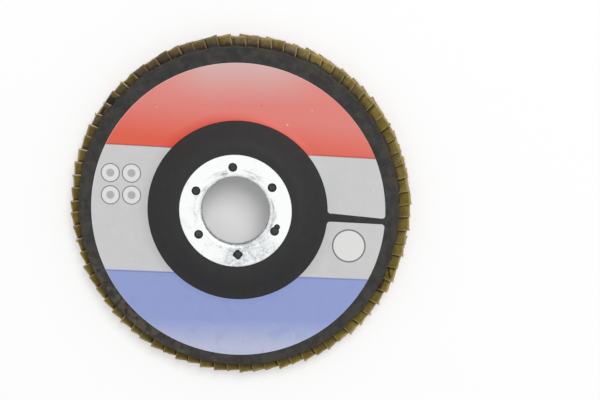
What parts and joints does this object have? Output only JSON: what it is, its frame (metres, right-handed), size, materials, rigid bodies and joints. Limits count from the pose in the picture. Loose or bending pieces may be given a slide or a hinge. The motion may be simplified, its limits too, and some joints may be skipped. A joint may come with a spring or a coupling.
{
  "type": "flap disc",
  "caption": "Abrasive flap disc with a depressed-centre laminate plate, steel centre ring, split paper label and a fan of overlapping abrasive cloth flaps.",
  "frame": {"origin": "centre of the bore, midway through the hub's laminate; the seating face of the centre ring is 1.8 mm above it", "axes": "+Z along the bore towards the grinder (label side), +Y to the top of the label, +X to the label's right; the flaps hang below with their grit facing -Z"},
  "size_m": [0.115, 0.115, 0.0171],
  "materials": {
    "steel": "bright plated sheet steel, faintly mottled",
    "laminate": "matt dark grey pressed glass-fibre laminate",
    "printed_paper": "satin printed paper in red, grey and blue fields",
    "resin": "black cured resin, rough and glossy",
    "abrasive_cloth": "red grit face, olive cloth back, pale frayed cut edges"
  },
  "bodies": {
    "root": {"backing_plate": "laminate", "centre_ring": "steel", "flaps_01": "abrasive_cloth", "flaps_02": "abrasive_cloth", "flaps_03": "abrasive_cloth", "flaps_04": "abrasive_cloth", "flaps_05": "abrasive_cloth", "flaps_06": "abrasive_cloth", "flaps_07": "abrasive_cloth", "flaps_08": "abrasive_cloth", "flaps_09": "abrasive_cloth", "flaps_10": "abrasive_cloth", "flaps_11": "abrasive_cloth", "flaps_12": "abrasive_cloth", "flaps_13": "abrasive_cloth", "flaps_14": "abrasive_cloth", "flaps_15": "abrasive_cloth", "flaps_16": "abrasive_cloth", "flaps_17": "abrasive_cloth", "flaps_18": "abrasive_cloth", "flaps_19": "abrasive_cloth", "flaps_20": "abrasive_cloth", "flaps_21": "abrasive_cloth", "flaps_22": "abrasive_cloth", "flaps_23": "abrasive_cloth", "flaps_24": "abrasive_cloth", "flaps_25": "abrasive_cloth", "flaps_26": "abrasive_cloth", "flaps_27": "abrasive_cloth", "flaps_28": "abrasive_cloth", "flaps_29": "abrasive_cloth", "flaps_30": "abrasive_cloth", "flaps_31": "abrasive_cloth", "flaps_32": "abrasive_cloth", "flaps_33": "abrasive_cloth", "flaps_34": "abrasive_cloth", "flaps_35": "abrasive_cloth", "flaps_36": "abrasive_cloth", "flaps_37": "abrasive_cloth", "flaps_38": "abrasive_cloth", "flaps_39": "abrasive_cloth", "flaps_40": "abrasive_cloth", "label": "printed_paper", "resin_bed": "resin"}
  },
  "joints": []
}
